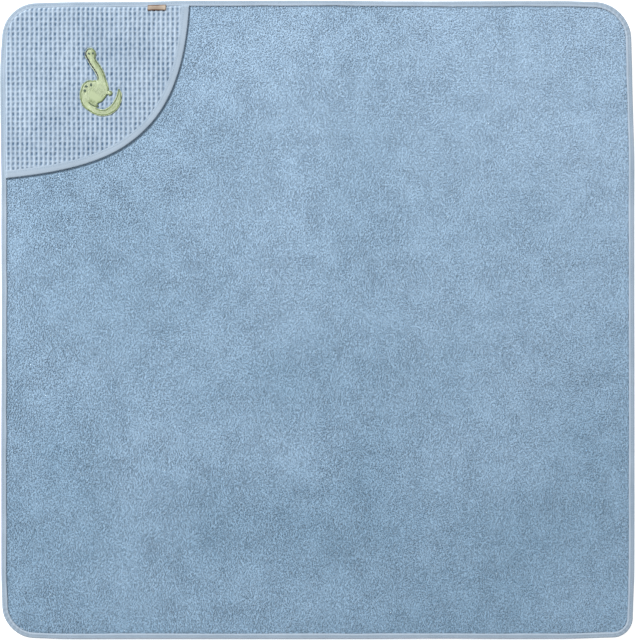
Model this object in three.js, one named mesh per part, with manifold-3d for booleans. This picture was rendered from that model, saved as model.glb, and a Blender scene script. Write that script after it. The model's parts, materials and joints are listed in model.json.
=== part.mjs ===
// A hooded baby towel, laid flat with its hood closed.
//
// A square of terry with rounded corners is edged all round in folded cotton tape. A quarter-round
// hood of waffle cloth fills one corner: its two straight sides are caught in the same edge tape, and
// its free curved side has a tape of its own. The hood carries an embroidered dinosaur with a backing
// behind it, and a small folded label comes out of the top hem.
//
// Millimetres, +Z up. The origin is on the surface that the towel lies on, under its middle.
// +Y points to the top hem, and the hood's corner is at -X, +Y.
import * as THREE from "three";
import { mergeVertices } from "three/addons/utils/BufferGeometryUtils.js";
import Module from "manifold-3d";

const wasm = await Module();
wasm.setup();

// Driving dimensions

const gap = 0.3; // between layers that lie on each other

const towel = {
  width: 800,
  length: 807,
  topRightDraw: 3.2, // how far the hem draws the right side in, from its foot to its top
  cornerRadius: 49,
  lowerRightRadius: 28, // this corner is cut tighter than the others
  thickness: 3.6,
  pressed: 0.9, // terry squeezed flat where the hood is sewn in on top of it
};

const edgeTape = {
  reach: 6.5, // how far each leg reaches in over the cloth
  thickness: 0.6,
  bottom: 0.8, // its lower leg stands this far off the table, clear of the thread under it
  seamBack: 2.8, // how far its seam stands back from the legs' inner edges
};

const hood = {
  alongTop: 237, // from the towel's corner to the end of the curved side, along the top edge
  alongSide: 225, // the same down the side edge
  topHandle: { inward: 8.6, down: 181 }, // how the curve leaves its top end
  sideHandle: { inward: 138.5, up: 14.6 }, // how the curve leaves its side end
  thickness: 2.0,
  pressedEdge: 0.5, // waffle squeezed flat inside the edge tape
  pressedCurve: 0.9, // waffle squeezed flat inside the hood's own tape
  stepWidth: 1.5, // width of the step from the pressed edge up to full thickness
};

const hoodTape = { reach: 8.8, thickness: 0.5, seamBack: 1.8 };

// The hood's free edge folds back along a straight line, square to the diagonal from the corner.
const fold = { fromCorner: 206, axisAbove: 0.1 };

const thread = { width: 0.5, height: 0.4, underHeight: 0.3 };

const label = {
  fromSide: 199, // the label's middle, from the towel's left edge
  width: 23,
  thickness: 0.6,
  rootDepth: 1.3,
  rootBack: 0.1, // its root stands on the hem, this far back from the tape's inner edge
  hang: 7.2, // how far the tab lies over the hood
};

const motif = { fromSide: 126, fromTop: 103, thickness: 0.6, border: 1.3, borderHeight: 0.4 };

const backing = { radiusX: 30, radiusY: 47, thickness: 0.3 };

// Levels, from the table up

const edgeLower = edgeTape.bottom + edgeTape.thickness; // top of the edge tape's lower leg
const terryRim = edgeLower + gap; // underside of the terry inside the tape
const hoodLip = terryRim + towel.pressed + gap; // underside of the hood's pressed edge
const edgeUpper = hoodLip + hood.pressedEdge + gap; // underside of the edge tape's upper leg
const edgeTop = edgeUpper + edgeTape.thickness;
const underHood = towel.thickness + gap; // where the backing and the seam's under thread lie
const hoodBottom = underHood + Math.max(thread.underHeight, backing.thickness) + gap;
const hoodTop = hoodBottom + hood.thickness;
const curveRim = hoodBottom + hoodTape.thickness + gap; // underside of the waffle in the hood's tape
const curveUpper = curveRim + hood.pressedCurve + gap; // underside of that tape's upper leg
const curveTop = curveUpper + hoodTape.thickness;
const curveSeam = curveTop + gap;
const foldAxis = curveSeam + thread.height + fold.axisAbove;

const left = -towel.width / 2;
const right = towel.width / 2;
const bottom = -towel.length / 2;
const top = towel.length / 2;
const clearOfTape = edgeTape.reach + gap; // the nearest that a full layer comes to the towel's edge
const tall = 50; // more than all the layers together, for cutting right through
const far = 2 * Math.max(towel.width, towel.length);

// Solids

// A closed three.js geometry as a manifold-3d solid.
function solidOf(geometry) {
  const bare = geometry.index ? geometry.toNonIndexed() : geometry.clone();
  bare.deleteAttribute("normal");
  bare.deleteAttribute("uv");
  const merged = mergeVertices(bare, 1e-4);
  return new wasm.Manifold(
    new wasm.Mesh({
      numProp: 3,
      vertProperties: merged.attributes.position.array,
      triVerts: new Uint32Array(merged.index.array),
    }),
  );
}

// A manifold-3d solid as a three.js geometry.
function geometryOf(solid) {
  const mesh = solid.getMesh();
  const geometry = new THREE.BufferGeometry();
  geometry.setAttribute("position", new THREE.BufferAttribute(mesh.vertProperties, 3));
  geometry.setIndex(new THREE.BufferAttribute(mesh.triVerts, 1));
  const shaded = geometry.toNonIndexed();
  shaded.computeVertexNormals();
  return shaded;
}

// A flat shape raised from one level to another.
function slab(shape, low, high) {
  const geometry = new THREE.ExtrudeGeometry(shape, {
    depth: high - low,
    bevelEnabled: false,
    curveSegments: 8,
  });
  return solidOf(geometry.translate(0, 0, low));
}

const cutter = (shape) => slab(shape, -tall, tall);

// Everything past an upright plane through a point, on the side that its normal points to.
function pastPlane(point, normal) {
  const along = new THREE.Vector2(-normal.y, normal.x);
  const at = (out, side) =>
    point.clone().addScaledVector(normal, out).addScaledVector(along, side);
  return cutter(new THREE.Shape([at(0, -far), at(far, -far), at(far, far), at(0, far)]));
}

// The towel's outline

const round = towel.cornerRadius;
const tight = towel.lowerRightRadius;
const lean = Math.atan(towel.topRightDraw / towel.length);
const outOfRight = new THREE.Vector2(Math.cos(lean), Math.sin(lean));
const lowerRight = new THREE.Vector2(right - tight, bottom + tight);
const upperRight = new THREE.Vector2(0, top - round);
// The leaning side touches both arcs, so their centres stand their own radii inside it.
upperRight.x =
  (lowerRight.dot(outOfRight) + tight - round - upperRight.y * outOfRight.y) / outOfRight.x;

const quarter = Math.PI / 2;
const corners = [
  { x: left + round, y: top - round, radius: round, from: quarter, to: 2 * quarter },
  { x: left + round, y: bottom + round, radius: round, from: 2 * quarter, to: 3 * quarter },
  { x: lowerRight.x, y: lowerRight.y, radius: tight, from: 3 * quarter, to: 4 * quarter + lean },
  { x: upperRight.x, y: upperRight.y, radius: round, from: lean, to: quarter },
];

// The outline moved in by an even distance: the arcs keep their centres and lose that much radius.
function outline(inset) {
  const shape = new THREE.Shape();
  for (const { x, y, radius, from, to } of corners) {
    shape.absarc(x, y, radius - inset, from, to, false);
  }
  return shape;
}

const within = (inset, low, high) => slab(outline(inset), low, high);
const cutWithin = (inset) => cutter(outline(inset));

// The hood's outline

const corner = new THREE.Vector2(left, top);

const curve = new THREE.CubicBezierCurve(
  new THREE.Vector2(left + hood.alongTop, top),
  new THREE.Vector2(left + hood.alongTop - hood.topHandle.inward, top - hood.topHandle.down),
  new THREE.Vector2(left + hood.sideHandle.inward, top - hood.alongSide + hood.sideHandle.up),
  new THREE.Vector2(left, top - hood.alongSide),
);

// The hood's corner, out to a line that runs an even distance inside the curved side.
// It reaches past the towel's edges, which trim it.
function hoodOutline(offset) {
  const steps = 24;
  const past = 20;
  const points = [];
  for (let i = 0; i <= steps; i++) {
    const along = curve.getTangent(i / steps);
    const inward = new THREE.Vector2(along.y, -along.x);
    points.push(curve.getPoint(i / steps).addScaledVector(inward, offset));
  }
  points.unshift(points[0].clone().addScaledVector(curve.getTangent(0), -past));
  points.push(points.at(-1).clone().addScaledVector(curve.getTangent(1), past));
  points.push(new THREE.Vector2(left - past, top + past));
  return new THREE.Shape(points);
}

// A layer of the hood that stops short of its curve by one distance and of the towel's edge by another.
const hoodArea = (offset, inset, low, high) =>
  slab(hoodOutline(offset), low, high).intersect(cutWithin(inset));
const cutHood = (offset) => cutter(hoodOutline(offset));

// Terry, pressed thin inside the edge tape and thinner still under the hood's sewn-in sides.
function terryPanel() {
  const body = within(clearOfTape, 0, towel.thickness);
  const rim = within(edgeTape.thickness + gap, terryRim, edgeUpper - gap).subtract(
    cutWithin(clearOfTape + hood.stepWidth),
  );
  const underStep = clearOfTape + gap + hood.stepWidth;
  const underLip = slab(hoodOutline(-gap), terryRim + towel.pressed, tall).subtract(
    cutWithin(underStep),
  );
  return body.add(rim).subtract(underLip);
}

// A tape folded over the towel's edge: a channel that opens inwards.
function edgeBinding() {
  return within(0, edgeTape.bottom, edgeTop)
    .subtract(within(edgeTape.thickness, edgeLower, edgeUpper))
    .subtract(cutWithin(edgeTape.reach));
}

// Waffle cloth, with a pressed lip along the two sewn sides and a pressed rim along the curve.
function waffleHood() {
  const insideTape = hoodTape.reach + gap;
  const rimOffset = hoodTape.thickness + gap;
  const body = hoodArea(insideTape, clearOfTape, hoodBottom, hoodTop);
  const rim = hoodArea(rimOffset, clearOfTape, curveRim, curveUpper - gap).subtract(
    cutHood(insideTape),
  );
  const lip = hoodArea(rimOffset, edgeTape.thickness + gap, hoodLip, hoodLip + hood.pressedEdge);
  const step = hoodArea(insideTape, clearOfTape, hoodLip, hoodTop);
  const sewnEdge = lip.add(step).subtract(cutWithin(clearOfTape + hood.stepWidth));
  return body.add(rim).add(sewnEdge);
}

// A tape folded over the hood's curved side: a channel that opens inwards.
function hoodBinding() {
  return hoodArea(0, clearOfTape, hoodBottom, curveTop)
    .subtract(slab(hoodOutline(hoodTape.thickness), hoodBottom + hoodTape.thickness, curveUpper))
    .subtract(cutHood(hoodTape.reach));
}

// One thread of the seam along the towel's edge.
function edgeSeam(low) {
  const inset = edgeTape.reach - edgeTape.seamBack;
  return within(inset, low, low + thread.height).subtract(cutWithin(inset + thread.width));
}

// One thread of the seam along the hood's curve.
function hoodSeam(low, high) {
  const offset = hoodTape.reach - hoodTape.seamBack;
  return hoodArea(offset, clearOfTape, low, high).subtract(cutHood(offset + thread.width));
}

// The fold parts what crosses it into a fixed and a free side, and a strip's fixed side into two ends.
const diagonal = new THREE.Vector2(1, -1).normalize();
const square = new THREE.Vector2(1, 1).normalize();
const outAlong = (distance) => corner.clone().addScaledVector(diagonal, distance);
const foldGap = gap / 2;

const freeSide = (solid) => solid.intersect(pastPlane(outAlong(fold.fromCorner + foldGap), diagonal));
const fixedSide = (solid) => solid.subtract(pastPlane(outAlong(fold.fromCorner - foldGap), diagonal));
const topEnd = (solid) => fixedSide(solid).intersect(pastPlane(corner, square));
const sideEnd = (solid) => fixedSide(solid).subtract(pastPlane(corner, square));

// The dinosaur, measured from its middle, +x right and +y up

const head = { x: -12.4, y: 35.3, halfWidth: 6.8, halfHeight: 7.6 };
const belly = { x: -13.5, y: -17.5, halfWidth: 12.8, halfHeight: 19.5 };
const paw = { x: 11.0, y: -13.0, halfWidth: 3.4, halfHeight: 3.4 };
// Each stop on a stroke is x, y and half its width there.
const neck = [
  [-11.5, 29, 5.6], [-9, 23.5, 5.4], [-3.6, 16, 5.5], [0.3, 7.3, 5.4], [1.4, 0, 6.6], [2, -9.5, 8.5],
];
const tail = [
  [-15, -30, 6.5], [-9, -35.5, 5], [-3, -38, 4.2], [3.6, -38.4, 4.4], [9.6, -36.6, 5.2],
  [15.6, -32.4, 5.7], [20.2, -26.5, 5.6], [22.6, -20.2, 4.4], [23.4, -15, 3.1], [23, -9.5, 1.2],
];
const eyes = {
  left: { x: -14.9, y: 35.6, halfWidth: 1.0, halfHeight: 1.7, turn: 0.6 },
  right: { x: -9.7, y: 36.2, halfWidth: 1.0, halfHeight: 1.7, turn: -0.6 },
};
const spots = {
  upper: { x: -12.1, y: -3.2, halfWidth: 1.2, halfHeight: 2.2, turn: 0 },
  middle: { x: -17.7, y: -5.6, halfWidth: 1.5, halfHeight: 1.7, turn: 0 },
  lower: { x: -20.0, y: -11.2, halfWidth: 1.2, halfHeight: 2.1, turn: 0 },
};
const legLine = [[-14, -24.5, 0.6], [-10.2, -27.9, 0.8], [-6.2, -28.6, 0.6]];

function oval({ x, y, halfWidth, halfHeight, turn = 0 }, grow = 0) {
  const shape = new THREE.Shape();
  shape.absellipse(x, y, halfWidth + grow, halfHeight + grow, 0, 2 * Math.PI, false, turn);
  return shape;
}

// A line of changing width through its stops, from end to end.
function stroke(stops, grow = 0) {
  const line = new THREE.SplineCurve(stops.map(([x, y]) => new THREE.Vector2(x, y)));
  const width = new THREE.SplineCurve(stops.map(([, , half], i) => new THREE.Vector2(i, half)));
  const steps = 3 * (stops.length - 1);
  const near = [];
  const off = [];
  for (let i = 0; i <= steps; i++) {
    const along = line.getTangent(i / steps);
    const across = new THREE.Vector2(-along.y, along.x);
    const half = width.getPoint(i / steps).y + grow;
    near.push(line.getPoint(i / steps).addScaledVector(across, -half));
    off.unshift(line.getPoint(i / steps).addScaledVector(across, half));
  }
  return new THREE.Shape([...near, ...off]);
}

const roundEnd = ([x, y, half], grow) => oval({ x, y, halfWidth: half, halfHeight: half }, grow);

// The dinosaur grown or shrunk evenly; the tail's tip is left out where nothing of it would be left.
function dinosaur(grow, low, high) {
  const wholeTail = tail.filter(([, , half]) => half + grow > 0);
  const shapes = [
    oval(head, grow),
    oval(belly, grow),
    oval(paw, grow),
    stroke(neck, grow),
    stroke(wholeTail, grow),
    ...[neck[0], neck.at(-1), wholeTail[0], wholeTail.at(-1)].map((stop) => roundEnd(stop, grow)),
  ];
  return shapes.map((shape) => slab(shape, low, high)).reduce((all, one) => all.add(one));
}

// Materials and nodes

function cloth(color, roughness) {
  return new THREE.MeshStandardMaterial({ color, roughness, metalness: 0 });
}

const finishes = {
  terry: cloth(0x93b4cd, 0.95),
  tape: cloth(0xb4c8dc, 0.8),
  waffle: cloth(0xb9d0e4, 0.9),
  seam: cloth(0xa9c3dc, 0.7),
  lime: cloth(0xc9dba6, 0.7),
  olive: cloth(0x7f8f5c, 0.65),
  forest: cloth(0x46593f, 0.65),
  label: cloth(0xcbab8d, 0.75),
  white: cloth(0xf1f1ec, 0.9),
};

function node(name, solid, finish) {
  const mesh = new THREE.Mesh(geometryOf(solid), finish);
  mesh.name = name;
  return mesh;
}

// The towel's cloth, its edge tape and the two threads of its seam.
function towelGroup() {
  const group = new THREE.Group();
  const underThread = edgeTape.bottom - gap - thread.height;
  group.add(
    node("terry_panel", terryPanel(), finishes.terry),
    node("edge_binding", edgeBinding(), finishes.tape),
    node("edge_top_thread", edgeSeam(edgeTop + gap), finishes.seam),
    node("edge_under_thread", edgeSeam(underThread), finishes.seam),
  );
  return group;
}

// The hood's cloth, its tape and the two threads of its seam, parted at the fold.
function hoodGroup() {
  const group = new THREE.Group();
  const cloth = waffleHood();
  group.add(
    node("hood_panel", fixedSide(cloth), finishes.waffle),
    node("hood_free_edge", freeSide(cloth), finishes.waffle),
  );
  const strips = [
    ["hood_binding", hoodBinding(), finishes.tape],
    ["hood_top_thread", hoodSeam(curveSeam, curveSeam + thread.height), finishes.seam],
    ["hood_under_thread", hoodSeam(underHood, underHood + thread.underHeight), finishes.seam],
  ];
  for (const [name, solid, finish] of strips) {
    group.add(
      node(name, freeSide(solid), finish),
      node(`${name}_top_end`, topEnd(solid), finish),
      node(`${name}_side_end`, sideEnd(solid), finish),
    );
  }
  return group;
}

// The embroidery in its own frame, whose origin is under the dinosaur's middle.
function motifGroup() {
  const group = new THREE.Group();
  group.position.set(left + motif.fromSide, top - motif.fromTop, 0);
  const patchBottom = hoodTop + gap;
  const patchTop = patchBottom + motif.thickness;
  const low = patchTop + gap;
  const high = low + motif.borderHeight;
  const patch = dinosaur(0, patchBottom, patchTop);
  const border = dinosaur(0, low, high).subtract(dinosaur(-motif.border, -tall, tall));
  const patchBacking = oval({ x: 0, y: 0, halfWidth: backing.radiusX, halfHeight: backing.radiusY });
  group.add(
    node("embroidery_backing", slab(patchBacking, underHood, underHood + backing.thickness), finishes.white),
    node("dinosaur_patch", patch, finishes.lime),
    node("dinosaur_outline", border, finishes.olive),
    node("dinosaur_leg_line", slab(stroke(legLine), low, high), finishes.olive),
  );
  for (const [side, eye] of Object.entries(eyes)) {
    group.add(node(`dinosaur_${side}_eye`, slab(oval(eye), low, high), finishes.forest));
  }
  for (const [place, spot] of Object.entries(spots)) {
    group.add(node(`dinosaur_${place}_spot`, slab(oval(spot), low, high), finishes.forest));
  }
  return group;
}

// The label in its own frame: the outer side of its root is on y = 0, and its tab lies towards -y.
function labelGroup() {
  const group = new THREE.Group();
  const rootInset = edgeTape.reach - label.rootBack - label.rootDepth;
  group.position.set(left + label.fromSide, top - rootInset, 0);
  const rootFoot = edgeTop + gap;
  const tabFoot = hoodTop + gap;
  const labelTop = tabFoot + label.thickness;
  const root = new THREE.BoxGeometry(label.width, label.rootDepth, labelTop - rootFoot);
  root.translate(0, -label.rootDepth / 2, (rootFoot + labelTop) / 2);
  const tab = new THREE.BoxGeometry(label.width, label.hang, label.thickness);
  tab.translate(0, -label.rootDepth - gap - label.hang / 2, (tabFoot + labelTop) / 2);
  group.add(
    node("label_root", solidOf(root), finishes.label),
    node("label_tab", solidOf(tab), finishes.label),
  );
  return group;
}

const hoodedTowel = new THREE.Group();
hoodedTowel.add(towelGroup(), hoodGroup(), motifGroup(), labelGroup());

export default hoodedTowel;
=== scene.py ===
# A hooded baby towel laid flat: looped terry, a waffle hood, folded cotton tapes, sewn seams,
# an embroidered dinosaur and a small folded label.
import json

import bpy
import numpy as np
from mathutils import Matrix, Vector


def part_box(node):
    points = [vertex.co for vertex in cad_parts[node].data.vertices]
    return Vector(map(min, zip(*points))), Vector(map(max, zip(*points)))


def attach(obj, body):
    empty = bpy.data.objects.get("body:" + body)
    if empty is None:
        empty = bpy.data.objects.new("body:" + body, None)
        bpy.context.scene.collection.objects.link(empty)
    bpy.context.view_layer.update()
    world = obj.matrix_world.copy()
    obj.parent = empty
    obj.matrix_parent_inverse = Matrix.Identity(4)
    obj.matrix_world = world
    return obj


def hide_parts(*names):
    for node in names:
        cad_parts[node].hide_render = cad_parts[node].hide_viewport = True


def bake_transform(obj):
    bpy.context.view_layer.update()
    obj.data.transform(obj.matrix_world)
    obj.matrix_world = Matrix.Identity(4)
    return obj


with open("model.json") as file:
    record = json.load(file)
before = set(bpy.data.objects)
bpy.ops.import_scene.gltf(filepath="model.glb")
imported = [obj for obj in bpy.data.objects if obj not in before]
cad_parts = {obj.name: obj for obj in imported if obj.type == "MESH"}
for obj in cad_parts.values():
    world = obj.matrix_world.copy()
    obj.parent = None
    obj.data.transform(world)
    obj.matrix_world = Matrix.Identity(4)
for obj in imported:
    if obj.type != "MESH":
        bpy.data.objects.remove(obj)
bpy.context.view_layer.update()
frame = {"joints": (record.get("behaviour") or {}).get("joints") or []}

mm = 0.001  # every shape below is worked out in millimetres and stored in metres


def boxMm(node):
    low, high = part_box(node)
    return np.array(low) / mm, np.array(high) / mm


def smooth(x):  # 0 below 0, 1 above 1, and 3x^2 - 2x^3 between
    x = np.clip(x, 0, 1)
    return x * x * (3 - 2 * x)


def cloud(x, y, size, seed):
    # soft noise from -1 to 1: random values on a lattice `size` apart, blended by smooth() between
    lattice = np.random.default_rng(seed).uniform(-1, 1, (97, 97))
    u, v = x / size + 40.37, y / size + 40.71
    i, j = np.floor(u).astype(int), np.floor(v).astype(int)
    fu, fv = smooth(u - i), smooth(v - j)
    a, b = lattice[i % 97, j % 97], lattice[(i + 1) % 97, j % 97]
    c, d = lattice[i % 97, (j + 1) % 97], lattice[(i + 1) % 97, (j + 1) % 97]
    return (a * (1 - fu) + b * fu) * (1 - fv) + (c * (1 - fu) + d * fu) * fv


def cloudOn(line, size, seed):
    return cloud(line[..., 0], line[..., 1], size, seed)


def unit(v):  # each direction made 1 long
    return v / np.linalg.norm(v, axis=-1, keepdims=True)


def leftOf(v):  # each flat direction turned a quarter to the left
    return np.stack([-v[..., 1], v[..., 0]], -1)


def walkedAlong(line):  # how far along a line each of its points lies
    return np.concatenate([[0], np.cumsum(np.linalg.norm(np.diff(line, axis=0), axis=1))])


def newPiece(name, slot, nodes, material, tone, points, faces, bakeUv, uv=None):
    # a mesh with the given material, in place of the CAD's nodes: points (n, 3) in mm, faces a
    # list of index arrays (m, corners), and a tone and the two kinds of uv for each point
    counts = np.concatenate([np.full(len(f), f.shape[1]) for f in faces])
    corners = np.concatenate([f.ravel() for f in faces])
    starts = np.concatenate([[0], np.cumsum(counts)[:-1]])
    mesh = bpy.data.meshes.new(name)
    mesh.vertices.add(len(points))
    mesh.vertices.foreach_set("co", (points * mm).astype(np.float32).ravel())
    mesh.loops.add(len(corners))
    mesh.loops.foreach_set("vertex_index", corners.astype(np.int32))
    mesh.polygons.add(len(counts))
    mesh.polygons.foreach_set("loop_start", starts.astype(np.int32))
    mesh.update(calc_edges=True)
    mesh.polygons.foreach_set("use_smooth", np.ones(len(counts), bool))
    for layer, values in (("clothUv", uv), ("OFBake", bakeUv)):
        if values is not None:
            data = mesh.uv_layers.new(name=layer).data
            data.foreach_set("uv", values[corners].astype(np.float32).ravel())
    attribute = mesh.attributes.new("tone", "FLOAT", "POINT")
    attribute.data.foreach_set("value", tone.astype(np.float32))
    mesh.materials.append(material)
    piece = bpy.data.objects.new(name, mesh)
    bpy.context.collection.objects.link(piece)
    print(f"{name}: {int((counts - 2).sum())} triangles")
    if nodes:
        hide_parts(*nodes)
    return piece


def facingOut(points, faces):
    # six times the volume is the sum over triangles a, b, c of a . (b x c); below zero it is inside out
    volume = 0.0
    for f in faces:
        a = points[f[:, 0]]
        for k in range(1, f.shape[1] - 1):
            volume += np.einsum("ij,ij->i", a, np.cross(points[f[:, k]], points[f[:, k + 1]])).sum()
    return faces if volume > 0 else [f[:, ::-1] for f in faces]


def closedSheet(x, y, top, under, keep, tone):
    # a grid of cloth with a top and an under face, kept where `keep` is true, walled along its edge
    rows, cols = x.shape
    index = np.arange(rows * cols).reshape(rows, cols)
    far = rows * cols  # the under face's vertices follow the top face's
    a, b, c, d = index[:-1, :-1], index[1:, :-1], index[1:, 1:], index[:-1, 1:]
    topFaces = np.stack([a, b, c, d], -1)[keep]
    held = np.pad(keep, 1)
    walls = []
    for first, second, beside in (
        (a, b, held[1:-1, :-2]), (b, c, held[2:, 1:-1]), (c, d, held[1:-1, 2:]), (d, a, held[:-2, 1:-1]),
    ):
        edge = keep & ~beside
        f, s = first[edge], second[edge]
        walls.append(np.stack([s, f, f + far, s + far], -1))
    faces = [np.concatenate([topFaces, topFaces[:, ::-1] + far, *walls])]
    points = np.concatenate([np.stack([x, y, z], -1).reshape(-1, 3) for z in (top, under)])
    used, packed = np.unique(faces[0], return_inverse=True)
    points, faces = points[used], [packed.reshape(faces[0].shape)]
    spread = (points[:, :2] - points[:, :2].min(0)) / np.ptp(points[:, :2], axis=0)
    bakeUv = np.stack([spread[:, 0] * 0.49 + (used >= far) * 0.505, spread[:, 1]], -1)
    return tone.ravel()[used % far], points, facingOut(points, faces), bakeUv


def ownSquares(n, across, up):
    # a small square of the bake map for each of n threads, with its points' places in that square
    across, up = (v.ravel() for v in np.broadcast_arrays(across, up))
    columns = int(np.ceil(np.sqrt(n)))
    own = np.arange(n)[:, None]
    return np.stack([own % columns + across, own // columns + up], -1).reshape(-1, 2) / columns


fivePoints = np.linspace(-0.5, 0.5, 5)  # where a stitch's points lie along it


def threads(paths, radius, taper, sides=5):
    # paths (n, 5, 3) are the stitches' centre lines; around each point runs a ring of corners:
    # centre + radius * (cos(a) * side + sin(a) * side x tangent), its radius times `taper` at both ends
    n, k, _ = paths.shape
    side = leftOf(unit(paths[:, -1, :2] - paths[:, 0, :2]))
    across = np.broadcast_to(np.pad(side, ((0, 0), (0, 1)))[:, None, :], paths.shape)
    lift = np.cross(across, unit(np.gradient(paths, axis=1)))
    turn = np.linspace(0, 2 * np.pi, sides, endpoint=False) + np.pi / 2
    ring = np.cos(turn)[:, None] * across[:, :, None, :] + np.sin(turn)[:, None] * lift[:, :, None, :]
    thick = radius * np.array([taper, 1, 1, 1, taper])
    points = paths[:, :, None, :] + thick[:, None, None] * ring
    index = np.arange(n * k * sides).reshape(n, k, sides)
    near, nextOne = index, np.roll(index, -1, axis=2)
    walls = np.stack([near[:, :-1], nextOne[:, :-1], nextOne[:, 1:], near[:, 1:]], -1).reshape(-1, 4)
    caps = np.concatenate([index[:, 0, ::-1], index[:, -1]])
    points = points.reshape(-1, 3)
    bakeUv = ownSquares(n, np.linspace(0.1, 0.9, sides), np.linspace(0.1, 0.9, k)[:, None])
    return points, facingOut(points, [walls, caps]), bakeUv


def sweptTape(path, inward, inset, height, closed):
    # each path point carries a section: path + inward * inset, at the section's height
    n, k = inset.shape
    flat = path[:, None, :] + inward[:, None, :] * inset[..., None]
    points = np.concatenate([flat, height[..., None]], -1).reshape(-1, 3)
    index = np.arange(n * k).reshape(n, k)
    ahead = np.roll(index, -1, axis=0) if closed else index[1:]
    here = index if closed else index[:-1]
    walls = np.stack([here, np.roll(here, -1, 1), np.roll(ahead, -1, 1), ahead], -1).reshape(-1, 4)
    faces = [walls]
    if not closed:  # the section is an outer line and an inner line back, so its end closes in strips
        half = np.arange(k // 2 - 1)
        for row, order in ((index[0], 1), (index[-1], -1)):
            strip = np.stack([row[half], row[half + 1], row[k - 2 - half], row[k - 1 - half]], -1)
            faces.append(strip[:, ::-order])
    walked = walkedAlong(path)
    along = np.broadcast_to(walked[:, None], (n, k))
    run = np.concatenate([np.zeros((n, 1)), np.cumsum(np.hypot(np.diff(inset), np.diff(height)), 1)], 1)
    uv = np.stack([along * mm, run * mm], -1).reshape(-1, 2)
    bakeUv = np.stack([along / walked[-1], run / run.max()], -1).reshape(-1, 2)
    return points, facingOut(points, faces), bakeUv, uv


def linear(hexColour):
    # an sRGB hex colour to linear light
    value = np.array([int(hexColour[i:i + 2], 16) for i in (1, 3, 5)]) / 255
    return (*np.where(value <= 0.04045, value / 12.92, ((value + 0.055) / 1.055) ** 2.4), 1.0)


def addNode(tree, kind, inputs=None, **settings):
    # a shader node with its settings; an input is a value, or another node's output to link
    node = tree.nodes.new(kind)
    for key, value in settings.items():
        setattr(node, key, value)
    for key, value in (inputs or {}).items():
        if isinstance(value, bpy.types.NodeSocket):
            tree.links.new(value, node.inputs[key])
        else:
            node.inputs[key].default_value = value
    return node


def clothMaterial(name, roughness, sheen=0.15, specular=0.2):
    # a cloth's shader, and the tree that its pattern goes into
    material = bpy.data.materials.new(name)
    material.use_nodes = True
    shader = material.node_tree.nodes["Principled BSDF"]
    shader.inputs["Roughness"].default_value = roughness
    shader.inputs["Sheen Weight"].default_value = sheen
    shader.inputs["Specular IOR Level"].default_value = specular
    return material, material.node_tree


factorIn, firstIn, secondIn, colourOut = 0, 6, 7, 2  # the mix node's sockets for colours


def between(tree, share, first, second):
    # a colour from first to second, by a share that may go a little past either
    mix = addNode(tree, "ShaderNodeMix", {}, data_type="RGBA", clamp_factor=False)
    tree.links.new(share, mix.inputs[factorIn])
    mix.inputs[firstIn].default_value, mix.inputs[secondIn].default_value = first, second
    return mix.outputs[colourOut]


def ownTone(tree, dark, light):
    # from dark to light with the tone that each loop, thread or stretch of cloth carries
    tone = addNode(tree, "ShaderNodeAttribute", attribute_name="tone").outputs["Fac"]
    return between(tree, tone, linear(dark), linear(light))


def lumps(tree, size, detail=2.0):
    # soft noise, its lumps `size` metres across
    place = addNode(tree, "ShaderNodeTexCoord").outputs["Object"]
    settings = {"Vector": place, "Scale": 1 / size, "Detail": detail}
    return addNode(tree, "ShaderNodeTexNoise", settings).outputs["Fac"]


def paint(tree, colour, share=None, low=1.0, high=1.0, relief=None, depth=0.0):
    # the colour, times a grey from low to high by share, and a relief `depth` metres deep
    shader = tree.nodes["Principled BSDF"]
    if share is not None:
        grey = between(tree, share, (low, low, low, 1), (high, high, high, 1))
        mix = addNode(tree, "ShaderNodeMix", {factorIn: 1.0, firstIn: colour, secondIn: grey},
                      data_type="RGBA", blend_type="MULTIPLY")
        colour = mix.outputs[colourOut]
    tree.links.new(colour, shader.inputs["Base Color"])
    if relief is not None:
        bump = addNode(tree, "ShaderNodeBump", {"Height": relief, "Distance": depth})
        tree.links.new(bump.outputs["Normal"], shader.inputs["Normal"])


def crossedYarns(tree, place, pitch, operation):
    # two sets of parallel yarns, `pitch` metres apart; the node's bands lie 2 pi / 20 / scale apart
    settings = {"Vector": place, "Scale": np.pi / 10 / pitch, "Distortion": 0.7, "Detail": 1.0}
    lines = [addNode(tree, "ShaderNodeTexWave", settings, bands_direction=axis) for axis in ("X", "Y")]
    return addNode(tree, "ShaderNodeMath", {0: lines[0].outputs["Fac"], 1: lines[1].outputs["Fac"]},
                   operation=operation).outputs["Value"]


def cottonTerryLoops():
    # loops of soft two-ply cotton: matt, each with its own shade, fuzzy with fibre every 0.5 mm
    material, tree = clothMaterial("cottonTerryLoops", 0.95, 0.2)
    fuzz = lumps(tree, 0.5 * mm)
    paint(tree, ownTone(tree, "#7898B0", "#ACC4DA"), fuzz, 0.84, 1.12, fuzz, 0.1 * mm)
    return material


def cottonTerryGround():
    # the terry's close flat weave with the feet of its loops, 2.4 mm apart: painted shade darkens the sunken
    # weave between the feet
    material, tree = clothMaterial("cottonTerryGround", 0.95, 0.1)
    place = addNode(tree, "ShaderNodeTexCoord").outputs["Object"]
    settings = {"Vector": place, "Scale": 1 / (2.4 * mm)}
    feet = addNode(tree, "ShaderNodeTexVoronoi", settings).outputs["Distance"]
    paint(tree, ownTone(tree, "#7C9CB5", "#AAC3DA"), feet, 1.12, 0.72, feet, -0.6 * mm)
    return material


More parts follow.
